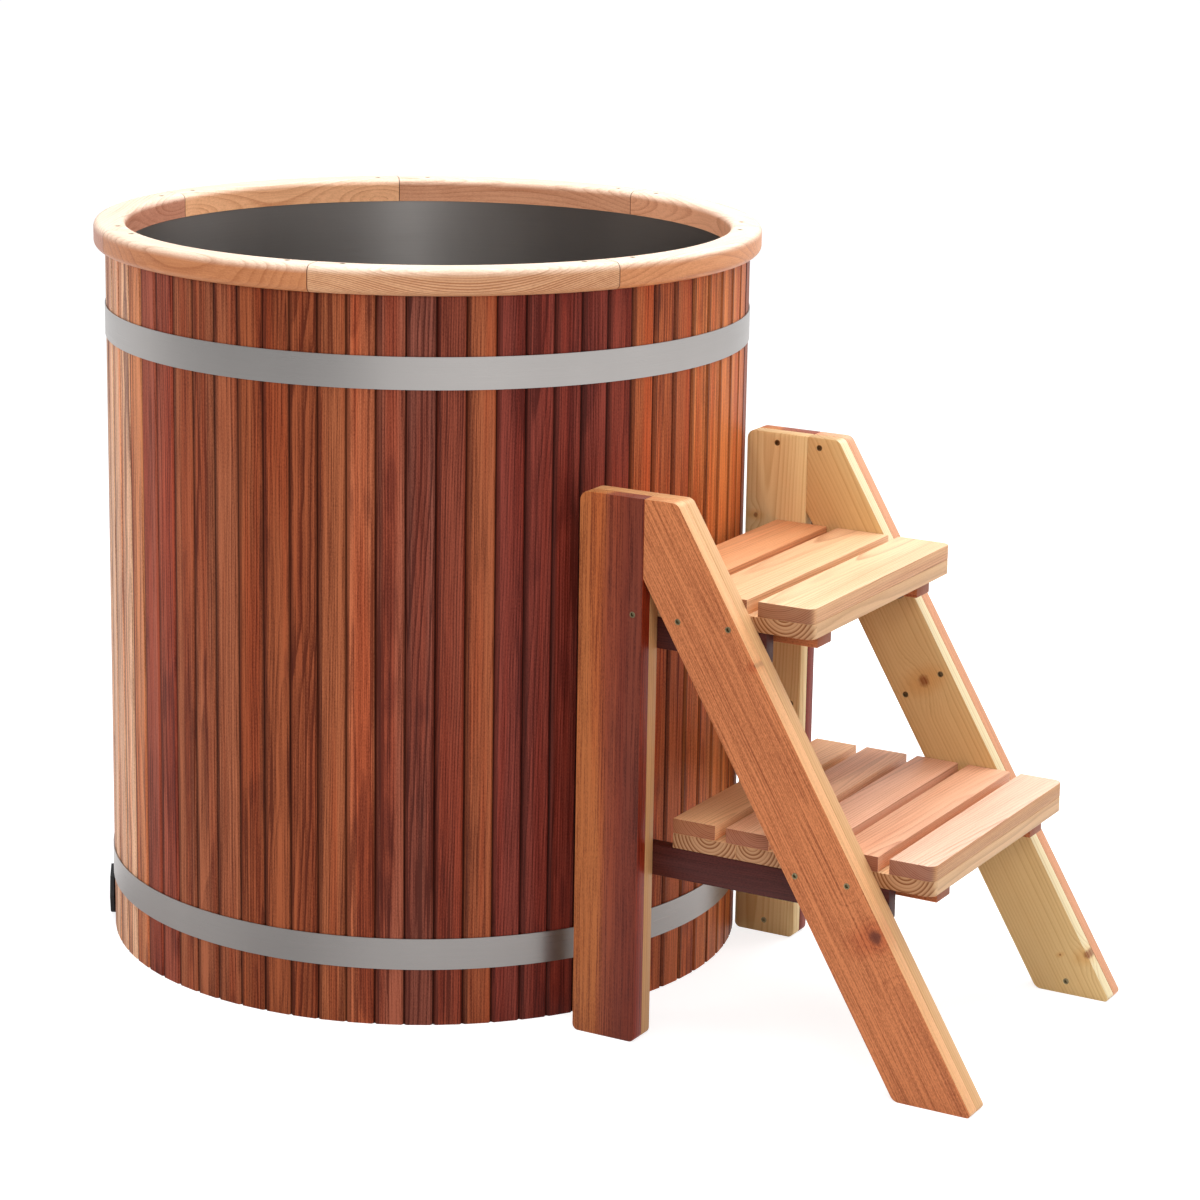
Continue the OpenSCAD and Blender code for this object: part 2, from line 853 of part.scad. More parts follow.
// Screws from a side frame's inner face that join its two layers
module at_layer_screws(side) {
  post_mid_x = steps_rear_x + post_w / 2;
  top_z = steps_h - post_screw_in;
  foot_z = layer_screw_in;
  upper_z = steps_h - layer_screw_drops[0];
  middle_z = steps_h - layer_screw_drops[1];
  lower_z = steps_h - layer_screw_drops[2];
  for (place = [
    [post_mid_x, top_z],
    [post_front_x + layer_screw_in, top_z],
    [stringer_front(upper_z) - layer_screw_in, upper_z],
    [stringer_rear(middle_z) + layer_screw_in, middle_z],
    [post_front_x - post_screw_in, lower_z],
    [post_mid_x, foot_z],
    [stringer_front(foot_z) - stringer_span / 2, foot_z]
  ])
    translate([place[0], steps_y + side * steps_half_w, place[1]])
      rotate([side * 90, 0, 0])
        children();
}

// Screws through the rails into a side frame's inner layer
module at_rail_screws(side) {
  for (under = [upper_underlay_z, lower_underlay_z]) {
    z = under - rail_h / 2;
    for (x = [rail_screw_x, stringer_front(z) - stringer_span / 2])
      translate([x, steps_y + side * (steps_half_w - rail_t), z])
        rotate([side * 90, 0, 0])
          children();
  }
}

// Outline of a tread from above, with its front corners rounded
module tread_plan(x, depth) {
  front = x + depth;
  difference() {
    translate([x, steps_y - tread_half_w])
      square([depth, 2 * tread_half_w]);
    for (side = [left, right])
      corner_waste(
        [front, steps_y + side * tread_half_w], [-1, 0], [0, -side], tread_round);
  }
}

// One board of a tread: the part of the tread's plan between two depths
module tread_board(x, depth, start, width, z, thickness) {
  translate([0, 0, z])
    linear_extrude(thickness)
      intersection() {
        tread_plan(x, depth);
        translate([x + start, steps_y - steps_half_w])
          square([width, steps_inner_w]);
      }
}

module upper_slat(index) {
  color([cedar_light, cedar_orange, cedar_pale][index % 3])
    difference() {
      tread_board(
        upper_tread_x, upper_tread_d, index * (upper_slat_w + slat_gap), upper_slat_w,
        upper_tread_z - slat_t, slat_t);
      at_upper_tread_screws()
        screw_hole(tread_screw_length);
    }
}

module lower_slat(index) {
  color([cedar_light, cedar_pale][index % 2])
    difference() {
      tread_board(
        lower_tread_x, lower_tread_d, index * (lower_slat_w + slat_gap), lower_slat_w,
        lower_tread_z - slat_t, slat_t);
      at_lower_tread_screws()
        screw_hole(tread_screw_length);
    }
}

// Boards side by side under a tread's slats, drilled for all the tread's screws
module underlay(x, depth, count, z) {
  pitch = depth / count;
  color(pine_pale)
    difference() {
      for (i = [0:count - 1]) {
        near = i == 0 ? 0 : underlay_gap / 2;
        far = i == count - 1 ? 0 : underlay_gap / 2;
        tread_board(x, depth, i * pitch + near, pitch - near - far, z, underlay_t);
      }
      for (side = [left, right])
        at_frame_screws(side)
          screw_hole(frame_screw_length);
      children();
    }
}

module upper_underlay() {
  underlay(upper_tread_x, upper_tread_d, upper_underlay_count, upper_underlay_z)
    at_upper_tread_screws()
      screw_hole(tread_screw_length);
}

module lower_underlay() {
  underlay(lower_tread_x, lower_tread_d, lower_underlay_count, lower_underlay_z)
    at_lower_tread_screws()
      screw_hole(tread_screw_length);
}

// Rail along a side frame's inner face, under a tread, out to the stringer's edge
module rail(side, under) {
  back = steps_rear_x + rail_back;
  front = stringer_front(under - rail_h / 2);
  middle = steps_y + side * (steps_half_w - rail_t / 2);
  color(cedar_dark)
    difference() {
      translate([back, middle - rail_t / 2, under - rail_h])
        cube([front - back, rail_t, rail_h]);
      at_rail_screws(side)
        screw_hole(short_screw_length);
    }
}

// Pair of cleats under a tread that tie its boards together
module cleats(x, depth, under) {
  color(cedar_red)
    difference() {
      for (side = [left, right]) {
        middle = steps_y + side * (steps_half_w - cleat_inset - cleat_w / 2);
        translate([x + cleat_end, middle - cleat_w / 2, under - cleat_t])
          cube([depth - 2 * cleat_end, cleat_w, cleat_t]);
      }
      children();
    }
}

module upper_cleats() {
  cleats(upper_tread_x, upper_tread_d, upper_underlay_z)
    at_upper_tread_screws()
      screw_hole(tread_screw_length);
}

module lower_cleats() {
  cleats(lower_tread_x, lower_tread_d, lower_underlay_z)
    at_lower_tread_screws()
      screw_hole(tread_screw_length);
}

// Screws up through the cleats and the boards above into each slat
module at_tread_screws(x, slat_w, count, board_pitch, under) {
  for (i = [0:count - 1], side = [left, right]) {
    slat_x = x + i * (slat_w + slat_gap) + slat_w / 2;
    screw_x = clear_of_joints(slat_x, x, board_pitch, edge_margin);
    screw_y = steps_y + side * (steps_half_w - cleat_inset - cleat_w / 2);
    translate([screw_x, screw_y, under - cleat_t])
      rotate([180, 0, 0])
        children();
  }
}

module at_upper_tread_screws() {
  at_tread_screws(
    upper_tread_x, upper_slat_w, upper_slat_count,
    upper_tread_d / upper_underlay_count, upper_underlay_z)
    children();
}

module at_lower_tread_screws() {
  at_tread_screws(
    lower_tread_x, lower_slat_w, lower_slat_count,
    lower_tread_d / lower_underlay_count, lower_underlay_z)
    children();
}

module frame_screws() {
  for (side = [left, right])
    at_frame_screws(side)
      screw(frame_screw_length);
}

module short_screws() {
  for (side = [left, right]) {
    at_layer_screws(side)
      screw(short_screw_length);
    at_rail_screws(side)
      screw(short_screw_length);
  }
}

module tread_screws() {
  at_upper_tread_screws()
    screw(tread_screw_length);
  at_lower_tread_screws()
    screw(tread_screw_length);
}

stave_set(0);  // stave_set_1
stave_set(1);  // stave_set_2
stave_set(2);  // stave_set_3
stave_set(3);  // stave_set_4
stave_set(4);  // stave_set_5
stave_set(5);  // stave_set_6
stave_set(6);  // stave_set_7
stave_set(7);  // stave_set_8
rim_segment(0);  // rim_segment_1
rim_segment(1);  // rim_segment_2
rim_segment(2);  // rim_segment_3
rim_segment(3);  // rim_segment_4
rim_segment(4);  // rim_segment_5
rim_segment(5);  // rim_segment_6
rim_segment(6);  // rim_segment_7
rim_screws();
upper_band();
lower_band();
band_bolts();
band_nuts();
liner();
floor_boards();
floor_joists();
drain_strainer();
strainer_locknut();
drain_pipe();
drain_outlet();
outlet_ring();
outlet_locknut();
plug_seal();
drain_plug();
post_board(left, 1);  // left_post_outer
post_board(left, 0);  // left_post_inner
stringer_board(left, 1);  // left_stringer_outer
stringer_board(left, 0);  // left_stringer_inner
post_board(right, 1);  // right_post_outer
post_board(right, 0);  // right_post_inner
stringer_board(right, 1);  // right_stringer_outer
stringer_board(right, 0);  // right_stringer_inner
upper_slat(0);  // upper_slat_1
upper_slat(1);  // upper_slat_2
upper_slat(2);  // upper_slat_3
lower_slat(0);  // lower_slat_1
lower_slat(1);  // lower_slat_2
lower_slat(2);  // lower_slat_3
lower_slat(3);  // lower_slat_4
lower_slat(4);  // lower_slat_5
upper_underlay();
lower_underlay();
rail(left, upper_underlay_z);  // left_upper_rail
rail(right, upper_underlay_z);  // right_upper_rail
rail(left, lower_underlay_z);  // left_lower_rail
rail(right, lower_underlay_z);  // right_lower_rail
upper_cleats();
lower_cleats();
frame_screws();
short_screws();
tread_screws();
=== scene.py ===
"""Looks of the cold plunge tub and its steps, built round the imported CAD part. Lengths are in metres."""

import json
import math
import random

import bmesh
import bpy
from mathutils import Matrix, Vector

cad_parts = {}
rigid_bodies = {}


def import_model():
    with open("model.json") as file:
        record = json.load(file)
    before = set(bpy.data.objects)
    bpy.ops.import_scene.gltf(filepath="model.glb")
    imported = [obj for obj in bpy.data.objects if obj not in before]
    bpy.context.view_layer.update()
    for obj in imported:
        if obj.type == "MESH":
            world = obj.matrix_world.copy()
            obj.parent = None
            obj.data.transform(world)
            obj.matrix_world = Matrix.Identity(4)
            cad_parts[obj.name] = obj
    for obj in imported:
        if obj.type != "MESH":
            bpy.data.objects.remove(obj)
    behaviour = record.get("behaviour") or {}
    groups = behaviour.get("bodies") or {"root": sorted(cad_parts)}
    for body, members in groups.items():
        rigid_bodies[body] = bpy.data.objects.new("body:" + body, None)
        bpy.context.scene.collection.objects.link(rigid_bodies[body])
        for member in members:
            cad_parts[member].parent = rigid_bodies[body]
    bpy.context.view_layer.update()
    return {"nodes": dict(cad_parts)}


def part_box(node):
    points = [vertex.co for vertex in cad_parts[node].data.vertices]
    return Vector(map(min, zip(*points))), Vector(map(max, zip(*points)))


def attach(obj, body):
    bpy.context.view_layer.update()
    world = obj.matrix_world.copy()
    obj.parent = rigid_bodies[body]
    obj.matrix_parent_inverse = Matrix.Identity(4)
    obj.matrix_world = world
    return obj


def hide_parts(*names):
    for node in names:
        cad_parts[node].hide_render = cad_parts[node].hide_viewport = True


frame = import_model()
nodes = frame["nodes"]
scene = bpy.context.scene


def level_direction(degrees):
    """Horizontal unit vector at an angle from +X."""
    return math.cos(math.radians(degrees)), math.sin(math.radians(degrees)), 0.0


# Directions
ALONG_X = (1.0, 0.0, 0.0)
ALONG_Y = (0.0, 1.0, 0.0)
UP = (0.0, 0.0, 1.0)
BELOW = (0.0, 0.0, -1.0)
STEPS_SIDE = level_direction(-38.0)

# Sizes of the CAD part that the materials follow
STAVE_JOINT = math.radians(-1.4)
STAVE_PITCH = math.radians(5.0)
STAVES_PER_SET = 9
STAVE_FACE_R = 0.4395
RIM_JOINT = math.radians(-77.2)
RIM_COUNT = 7
RIM_PITCH = math.tau / RIM_COUNT
RIM_MID_R = 0.4335
RIM_MID_Z = 0.9825
BARREL_FLOOR_Z = 0.08
STEPS_Y = -0.030
STEPS_REAR_X = 0.4046
POST_W = 0.092
POST_MID_Z = 0.36
FRAME_LAYER_T = 0.021
STRINGER_MID_X = STEPS_REAR_X + 0.139 + 0.19
STRINGER_MID_Z = 0.40
STRINGER_LEAN = math.radians(30.7)
STRINGER_UP = (-math.sin(STRINGER_LEAN), 0.0, math.cos(STRINGER_LEAN))
STRINGER_ACROSS = (math.cos(STRINGER_LEAN), 0.0, math.sin(STRINGER_LEAN))
RAIL_MID_X = 0.6
# Of each side frame: the way out, and its inner face's Y
SIDES = {"left": (-1.0, -0.240), "right": (1.0, 0.180)}


# ---------------------------------------------------------------- node helpers

def tone(code):
    """Linear colour of a hexadecimal sRGB code."""
    parts = [int(code[i:i + 2], 16) / 255 for i in (0, 2, 4)]
    return tuple(v / 12.92 if v <= 0.04045 else ((v + 0.055) / 1.055) ** 2.4 for v in parts) + (1.0,)


def times(colour, factor):
    """A fixed colour made lighter or darker."""
    return tuple(v * factor for v in colour[:3]) + (1.0,)


class Graph:
    """Short ways to add nodes to a cleared node tree. A value is a socket, a number or a tuple."""

    def __init__(self, tree):
        self.tree = tree
        tree.nodes.clear()

    def add(self, kind, **settings):
        node = self.tree.nodes.new(kind)
        for key, value in settings.items():
            setattr(node, key, value)
        return node

    def put(self, value, socket):
        """Links a socket to another, or sets its value."""
        if isinstance(value, bpy.types.NodeSocket):
            self.tree.links.new(value, socket)
        else:
            socket.default_value = value

    def flow(self, kind, *values, **settings):
        """The first output of a new node whose first inputs have these values."""
        node = self.add(kind, **settings)
        for value, socket in zip(values, node.inputs):
            self.put(value, socket)
        return node.outputs[0]

    def math(self, operation, *values, clamp=False):
        return self.flow("ShaderNodeMath", *values, operation=operation, use_clamp=clamp)

    def dot(self, vector, direction):
        node = self.add("ShaderNodeVectorMath", operation="DOT_PRODUCT")
        self.put(vector, node.inputs[0])
        self.put(direction, node.inputs[1])
        return node.outputs["Value"]

    def split(self, vector):
        node = self.add("ShaderNodeSeparateXYZ")
        self.put(vector, node.inputs[0])
        return tuple(node.outputs)

    def white(self, seed):
        """Three random numbers from one."""
        node = self.add("ShaderNodeTexWhiteNoise", noise_dimensions="1D")
        self.put(seed, node.inputs["W"])
        return self.split(node.outputs["Color"])

    def noise(self, places, scales, shifts=(0.0, 0.0, 0.0), detail=2.0, roughness=0.5):
        """Noise from 0 to 1, with a scale and a shift for each of three places."""
        node = self.add("ShaderNodeTexNoise")
        self.put(self.flow("ShaderNodeCombineXYZ", *(
            self.math("MULTIPLY_ADD", *axis) for axis in zip(places, scales, shifts))), node.inputs["Vector"])
        for key, value in (("Scale", 1.0), ("Detail", detail), ("Roughness", roughness)):
            node.inputs[key].default_value = value
        return node.outputs[0]

    def remap(self, value, low, high, to_low=0.0, to_high=1.0):
        """A smooth step from to_low at low to to_high at high."""
        node = self.add("ShaderNodeMapRange", interpolation_type="SMOOTHSTEP")
        for key, part in zip(("Value", "From Min", "From Max", "To Min", "To Max"),
                             (value, low, high, to_low, to_high)):
            self.put(part, node.inputs[key])
        return node.outputs[0]

    def mix(self, factor, a, b, blend="MIX"):
        node = self.add("ShaderNodeMix", data_type="RGBA", blend_type=blend)
        for value, socket in zip((factor, a, b), (node.inputs[0], node.inputs[6], node.inputs[7])):
            self.put(value, socket)
        return node.outputs[2]

    def dye(self, factor, colour, by):
        """A colour that is multiplied by another where factor is 1."""
        return self.mix(factor, colour, self.mix(1.0, colour, by, "MULTIPLY"))


class Net(Graph):
    """A new material with a Principled shader."""

    def __init__(self, name):
        self.material = bpy.data.materials.new(name)
        self.material.use_nodes = True
        super().__init__(self.material.node_tree)
        self.shader = self.add("ShaderNodeBsdfPrincipled")
        self.surface = self.add("ShaderNodeOutputMaterial").inputs["Surface"]
        self.put(self.shader.outputs[0], self.surface)
        coordinates = self.add("ShaderNodeTexCoord")
        self.place = coordinates.outputs["Object"]
        self.normal = coordinates.outputs["Normal"]

    def set(self, **values):
        """Sets the shader's own sockets, with _ for a space in a name."""
        for key, value in values.items():
            self.put(value, self.shader.inputs[key.replace("_", " ")])

    def bump(self, height, strength, distance):
        node = self.add("ShaderNodeBump")
        for key, value in (("Strength", strength), ("Distance", distance), ("Height", height)):
            self.put(value, node.inputs[key])
        self.put(node.outputs[0], self.shader.inputs["Normal"])

    def speckle(self, wide, high, detail=3.0, roughness=0.5):
        """Noise in the object's own place, with one scale in plan and one upward."""
        return self.noise(self.split(self.place), (wide, wide, high), detail=detail, roughness=roughness)

    def axes(self, origin, *directions):
        """The place along each direction, from an origin."""
        place = self.flow("ShaderNodeVectorMath", self.place, origin, operation="SUBTRACT")
        return tuple(self.dot(place, direction) for direction in directions)

    def facing(self, direction):
        """1 on the faces that look in a direction."""
        return self.remap(self.dot(self.normal, direction), 0.35, 0.95)

    def cut(self, along):
        """1 on the faces that the saw cut across the grain."""
        return self.remap(self.math("ABSOLUTE", self.dot(self.normal, along)), 0.25, 0.95)


# ---------------------------------------------------------------- wood

# Distance between the noises of boards whose seeds are 1 apart
SEED_STEP = 7.31
# Noises in wood: cells per metre across and along the grain, detail and roughness
GRAIN = {
    "streak": (150.0, 2.2, 3.0, 0.6), "bands": (48.0, 0.9, 2.0, 0.55), "fine": (520.0, 4.0, 2.0, 0.55),
    "fibre": (900.0, 14.0, 2.0, 0.6), "cloud": (14.0, 2.4, 2.0, 0.55), "bend": (9.0, 1.6, 2.0, 0.55),
    "sweep": (3.0, 3.1, 3.0, 0.55), "vein": (58.0, 0.7, 2.0, 0.55), "veined": (13.0, 2.6, 1.0, 0.55),
    "tint": (34.0, 1.1, 2.0, 0.55), "blot": (30.0, 9.0, 2.0, 0.55), "stain": (26.0, 1.8, 3.0, 0.6),
    "knot": (160.0, 160.0, 2.0, 0.55),
}
SAW_ACROSS, SAW_ALONG = 700.0, 330.0
# Parts of a ring's width: late wood darkens by a power of it, and ends within its last part
LATE_POWER, LATE_END = 2.4, 0.86
# What multiplies the wood's colour
REDDER = (0.98, 0.68, 0.56, 1.0)
STAINED = (0.46, 0.38, 0.44, 1.0)

WOOD = dict(
    # Rings: their width and strength, also on cut ends, and the pith: its place, or how far it may lie beside
    # and behind the board, its lean and its wander
    ring=0.0034, contrast=0.5, arcs=0.5, centre=None, pith=0.10, depth=(0.03, 0.10), tilt=0.03, wave=0.008,
    # Strength of the marks along the grain
    streak=1.3, bands=0.9, fine=1.1, fibre=0.6, cloud=0.5, saw=0.5, vein=0.0, tint=0.0, stain=0.0,
    # Shade between the marks, and what multiplies the base colour in its light, dark and cut parts
    level=0.30, light=1.30, dark=(0.40, 0.29, 0.27, 1.0), end_grain=(0.80, 0.72, 0.70, 1.0),
    # Knots as (across, along, radius)
    knots=(), knot_tone="57261a", knot_glow=(0.75, 0.42, 0.32, 1.0),
    rough=0.50, gloss=0.25, bump=0.35,
)


def wood(net, across, through, along, seed, base, extra=None, end=None, **changes):
    """Solid wood: rings round a pith beside the board, streaks, veins, fibres, stains and knots.

    across, through and along are places in the board, its grain running along. seed tells boards apart, extra
    is added to the shade, and end is 1 where the grain is cut across.
    """
    spec = {**WOOD, **changes}
    if isinstance(seed, bpy.types.NodeSocket):
        r1, r2, r3 = net.white(seed)
        shift = net.math("MULTIPLY", seed, SEED_STEP)
    else:
        draw = random.Random(seed)
        r1, r2, r3 = draw.random(), draw.random(), draw.random()
        shift = seed * SEED_STEP
    places = (across, through, along)

    def off(value):
        return net.math("SUBTRACT", value, 0.5)

    def add(value, factor, total):
        return net.math("MULTIPLY_ADD", value, factor, total)

    def length(x, y):
        return net.math("SQRT", add(x, x, net.math("MULTIPLY", y, y)))

    def grain(kind):
        """One of the noises, about 0."""
        wide, long, detail, roughness = GRAIN[kind]
        return off(net.noise(places, (wide, wide, long), (shift, 0.0, shift), detail, roughness))

    def near_knot(x, z, radius, uneven, wide, long, low, high):
        """1 at a knot, 0 from high times its radius on. wide and long scale the way across and along."""
        far = length(add(across, wide, -x * wide), add(along, long, -z * long))
        return net.remap(add(uneven, radius * 0.7, far), radius * low, radius * high, 1.0, 0.0)

    # Distance from the pith, which wanders and leans; the rings bend round the knots
    slope = net.math("MULTIPLY", along, spec["tilt"] * 2)
    low, high = spec["depth"]
    beside, beyond = spec["centre"] or (add(r1, 2 * spec["pith"], -spec["pith"]), add(r3, high - low, low))
    away = length(net.math("SUBTRACT", across, add(off(r2), slope, beside)),
                  net.math("ADD", through, add(off(r1), slope, beyond)))
    away = add(grain("bend"), spec["wave"] * 2, away)
    away = add(grain("sweep"), spec["wave"], away)
    knot_mask = knot_glow = None
    for x, z, radius in spec["knots"]:
        knot = (x, z, radius, grain("knot"))
        away = add(near_knot(*knot, 1.0, 0.62, 0.0, 4.5), radius * 1.6, away)
        mask = near_knot(*knot, 1.0, 0.9, 0.4, 1.25)
        glow = near_knot(*knot, 0.7, 1.3, 0.8, 4.2)
        knot_mask = mask if knot_mask is None else net.math("MAXIMUM", knot_mask, mask)
        knot_glow = glow if knot_glow is None else net.math("MAXIMUM", knot_glow, glow)

    # Each ring darkens outward and ends sharply, and some years are stronger
    rings = net.math("DIVIDE", away, spec["ring"])
    part = net.math("FRACT", rings)
    late = net.math("MULTIPLY", net.math("POWER", part, LATE_POWER), net.remap(part, LATE_END, 1.0, 1.0, 0.0))
    late = net.math("MULTIPLY", late, add(net.white(net.math("FLOOR", rings))[0], 1.2, 0.4))

    # Marks along the grain, fainter on cut ends
    fibre = grain("fibre")
    lines = net.math("MULTIPLY", grain("streak"), spec["streak"])
    for kind in ("bands", "fine"):
        lines = add(grain(kind), spec[kind], lines)
    lines = add(fibre, spec["fibre"], lines)
    if spec["vein"]:
        vein = net.remap(net.math("ABSOLUTE", grain("vein")), 0.004, 0.030, 1.0, 0.0)
        lines = add(net.math("MULTIPLY", vein, net.remap(grain("veined"), -0.06, 0.10)), spec["vein"], lines)
    lines = add(off(net.noise(places, (SAW_ACROSS, SAW_ACROSS, SAW_ALONG), (0.0, 0.0, shift), 1.0)), spec["saw"],
                lines)
    if end is not None:
        fading = add(end, -0.8, 1.0)
        lines = net.math("MULTIPLY", lines, fading)
        fibre = net.math("MULTIPLY", fibre, fading)

    shade = add(late, spec["contrast"], spec["level"] if extra is None else net.math("ADD", extra, spec["level"]))
    if end is not None:
        shade = add(net.math("MULTIPLY", late, end), spec["arcs"], shade)
    shade = add(grain("cloud"), spec["cloud"], net.math("ADD", shade, lines))
    colour = net.mix(net.math("ADD", shade, 0.0, clamp=True),
                     net.mix(1.0, base, (spec["light"],) * 3 + (1.0,), "MULTIPLY"),
                     net.mix(1.0, base, spec["dark"], "MULTIPLY"))
    if end is not None:
        colour = net.dye(end, colour, spec["end_grain"])
    if spec["tint"]:
        redder = net.remap(grain("tint"), -0.04, 0.14)
        colour = net.dye(net.math("MULTIPLY", redder, spec["tint"]), colour, REDDER)
    if spec["stain"]:
        patch = net.remap(add(grain("blot"), 0.5, grain("stain")), 0.085, 0.18)
        colour = net.dye(net.math("MULTIPLY", patch, spec["stain"]), colour, STAINED)
    if knot_mask is not None:
        colour = net.dye(net.math("MULTIPLY", knot_glow, 0.6), colour, spec["knot_glow"])
        colour = net.mix(net.math("MULTIPLY", knot_mask, add(late, 0.3, 0.75)), colour, tone(spec["knot_tone"]))

    net.set(Roughness=add(fibre, 0.25, add(late, -0.08, spec["rough"])), Specular_IOR_Level=spec["gloss"])
    net.bump(add(late, 0.55, net.math("MULTIPLY", fibre, 0.8)), spec["bump"], 0.0005)
    return colour


def paint(net, colour):
    net.set(Base_Color=colour)
    return net.material


# Tone and ring strength of each kind of stave
STAVE_TONES = {
    "S": ("e6b48f", 0.90), "T": ("c88056", 0.90), "P": ("a0523c", 0.80), "R": ("a05b3c", 0.65),
    "Q": ("995130", 0.55), "C": ("964d2d", 1.30), "L": ("a15a38", 0.55), "O": ("b36441", 0.35),
    "D": ("9d563f", 0.80), "K": ("874a3a", 1.00), "M": ("8c4430", 0.90), "A": ("a05736", 0.55),
    "H": ("833a2e", 0.70), "G": ("8b3e2f", 0.55), "V": ("b36139", 0.40), "B": ("cc7841", 0.40),
}
# The kinds in each set, from its first joint on
STAVE_SETS = ("BBBBRLGQO", "RMDLQVHRA", "OQGLBRMHV", "QLRDAVGOM", "LHQRBMVAS", "SSSTPPRRR", "QQCLODKMA", "HHHHGVVVB")
STAVE_WOOD = dict(depth=(0.02, 0.09), pith=0.12, streak=1.2, bands=0.7, fine=1.8, fibre=1.3, saw=0.9, vein=0.6,
                  stain=0.6, tint=0.8, gloss=0.13)
STAVE_SEEDS = 40.0
# Painted shade: the tone on one flank of each stave, and the one in the joints between staves
FLANK_SHADE_TONE, JOINT_SHADE_TONE = tone("3a140d"), tone("260d09")


def stave_material(index):
    net = Net("stave_set_%d_wood" % (index + 1))
    x, y, z = net.split(net.place)
    start = STAVE_JOINT + index * STAVES_PER_SET * STAVE_PITCH
    turn = net.math("SUBTRACT", net.math("ARCTAN2", y, x), start)
    turn = net.math("MULTIPLY", net.math("WRAP", turn, math.tau, 0.0), 1 / STAVE_PITCH)
    number = net.math("FLOOR", turn)
    radius = net.math("SQRT", net.math("ADD", net.math("MULTIPLY", x, x), net.math("MULTIPLY", y, y)))
    within = net.math("MULTIPLY_ADD", net.math("FRACT", turn), STAVE_PITCH, -STAVE_PITCH / 2)
    across = net.math("MULTIPLY", within, radius)
    through = net.math("SUBTRACT", STAVE_FACE_R, radius)

    # The ramp has a step for each stave, with the ring strength as its alpha
    ramp = net.add("ShaderNodeValToRGB")
    ramp.color_ramp.interpolation = "CONSTANT"
    steps = ramp.color_ramp.elements
    while len(steps) < STAVES_PER_SET:
        steps.new(1.0)
    for i, letter in enumerate(STAVE_SETS[index]):
        code, contrast = STAVE_TONES[letter]
        steps[i].position = i / STAVES_PER_SET
        steps[i].color = tone(code)[:3] + (contrast,)
    net.put(net.math("DIVIDE", net.math("ADD", number, 0.5), float(STAVES_PER_SET)), ramp.inputs[0])

    seed = net.math("ADD", number, STAVE_SEEDS + index * STAVES_PER_SET)
    lean = net.math("SUBTRACT", net.white(net.math("MULTIPLY", seed, 3.17))[1], 0.5)
    side = net.math("MULTIPLY", net.math("MULTIPLY", lean, across), 26.0)
    colour = wood(net, across, through, z, seed, ramp.outputs["Color"], extra=side,
                  contrast=ramp.outputs["Alpha"], **STAVE_WOOD)

    # One flank of each stave is darkened with painted shade, as far as a noise wanders, and both flanks get painted
    # shade in the joint
    half = STAVE_FACE_R * math.tan(STAVE_PITCH / 2)
    wander = net.noise((z, seed, 0.0), (2.2, 3.7, 0.0))
    heart_and_flank_shade = net.math("ADD", across, net.math("MULTIPLY_ADD", wander, -0.010, half))
    heart_and_flank_shade = net.remap(heart_and_flank_shade, 0.0006, 0.0022, 1.0, 0.0)
    colour = net.mix(net.math("MULTIPLY", heart_and_flank_shade, 0.55), colour, FLANK_SHADE_TONE)
    joint_shade = net.remap(net.math("ABSOLUTE", across), half - 0.0022, half - 0.0003)
    return paint(net, net.mix(net.math("MULTIPLY", joint_shade, 0.8), colour, JOINT_SHADE_TONE))


RIM_TONES = ("d6a47c", "d39264", "e0a07a", "d09572", "eaaf82", "c0846a", "c28054")
# The pale tone that the rim turns to toward its top is a painted highlight
RIM_TOP_HIGHLIGHT, RIM_GLUE = tone("eed6c0"), tone("4a2415")
RIM_WOOD = dict(ring=0.0052, contrast=0.42, wave=0.010, pith=0.05, depth=(0.05, 0.12), tilt=0.05, streak=0.45,
                bands=0.35, fine=0.4, cloud=0.7, level=0.12, light=1.15, dark=(0.66, 0.46, 0.34, 1.0), rough=0.42)


def rim_material(index):
    """Wood of a rim segment, with a painted highlight that makes it paler toward its top."""
    net = Net("rim_segment_%d_wood" % (index + 1))
    joints = [RIM_JOINT + (index + i) * RIM_PITCH for i in (0, 1)]
    middle = sum(joints) / 2
    out = (math.cos(middle), math.sin(middle), 0.0)
    along = (-math.sin(middle), math.cos(middle), 0.0)
    outward, downward, length = net.axes((RIM_MID_R * out[0], RIM_MID_R * out[1], RIM_MID_Z), out, BELOW, along)
    height = net.split(net.place)[2]
    # Painted highlight: the base turns pale toward the rim's top
    base = net.mix(net.remap(height, 0.988, 1.0), tone(RIM_TONES[index]), RIM_TOP_HIGHLIGHT)
    looks = dict(RIM_WOOD)
    if index == 0:
        # The segment at the front right has fine rings, strong on its face and faint on top
        looks.update(ring=0.0021, contrast=net.remap(height, 0.984, 0.998, 1.7, 0.45), wave=0.004,
                     centre=(0.050, 0.040))
    colour = wood(net, downward, outward, length, 300 + index * 3, base, **looks)
    # Glue lines at the segment's two ends
    for joint in joints:
        off = net.math("ABSOLUTE", net.dot(net.place, (-math.sin(joint), math.cos(joint), 0.0)))
        colour = net.mix(net.remap(off, 0.0003, 0.0010, 0.75, 0.0), colour, RIM_GLUE)
    return paint(net, colour)


